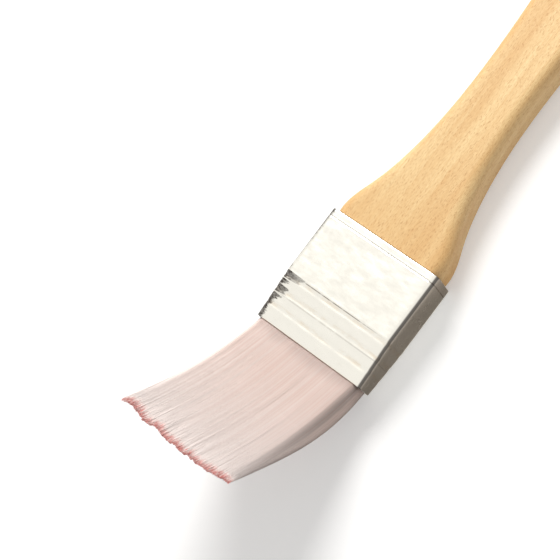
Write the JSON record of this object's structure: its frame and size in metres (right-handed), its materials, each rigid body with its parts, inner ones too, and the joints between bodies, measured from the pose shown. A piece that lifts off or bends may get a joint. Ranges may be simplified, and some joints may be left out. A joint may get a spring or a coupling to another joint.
{
  "type": "pastry brush",
  "caption": "Flat pastry brush with a waisted beech handle, a beaded tinned ferrule and a flexing nylon tuft shown bent towards its front.",
  "frame": {"origin": "middle of the flat back of the ferrule, on the plane that the brush rests on", "axes": "+X along the handle towards the bristle tips, +Y across the width, +Z out of the front face, up when the brush lies on its back"},
  "size_m": [0.1704, 0.0262, 0.0311],
  "materials": {
    "beech": "smooth, thinly lacquered",
    "tinned_steel": "bright tinned",
    "resin": "set resin",
    "filler_wood": "raw",
    "nylon": "fine filaments, semi-gloss"
  },
  "bodies": {
    "brush": {"handle": "beech", "ferrule": "tinned_steel", "setting_resin": "resin", "filler_strip": "filler_wood", "bristle_row_front": "nylon", "bristle_row_back": "nylon"},
    "tuft_1": {"bristle_section_1": "nylon"},
    "tuft_2": {"bristle_section_2": "nylon"},
    "tuft_3": {"bristle_section_3": "nylon"},
    "tuft_4": {"bristle_section_4": "nylon"},
    "tuft_5": {"bristle_section_5": "nylon"}
  },
  "joints": [
    {"name": "tuft_flex_1", "type": "hinge", "parent": "brush", "child": "tuft_1", "pos_m": [0.01665, 0, 0.00475], "axis": [0, -1, 0], "range_deg": [-27, 5.5], "stiffness_Nm_per_rad": 0.2, "springref_deg": -15.68},
    {"name": "tuft_flex_2", "type": "hinge", "parent": "tuft_1", "child": "tuft_2", "pos_m": [0.01997, 0, 0.00568], "axis": [0, -1, 0], "range_deg": [-17.6, 3.62]},
    {"name": "tuft_flex_3", "type": "hinge", "parent": "tuft_2", "child": "tuft_3", "pos_m": [0.02351, 0, 0.00744], "axis": [0, -1, 0], "range_deg": [-18.16, 3.74]},
    {"name": "tuft_flex_4", "type": "hinge", "parent": "tuft_3", "child": "tuft_4", "pos_m": [0.02789, 0, 0.01074], "axis": [0, -1, 0], "range_deg": [-17.74, 3.65]},
    {"name": "tuft_flex_5", "type": "hinge", "parent": "tuft_4", "child": "tuft_5", "pos_m": [0.03405, 0, 0.01742], "axis": [0, -1, 0], "range_deg": [-14.4, 2.97]}
  ],
  "couplings": [
    {"joint": "tuft_flex_2", "follows": "tuft_flex_1", "ratio": 0.64998},
    {"joint": "tuft_flex_3", "follows": "tuft_flex_1", "ratio": 0.67064},
    {"joint": "tuft_flex_4", "follows": "tuft_flex_1", "ratio": 0.65515},
    {"joint": "tuft_flex_5", "follows": "tuft_flex_1", "ratio": 0.53144}
  ]
}
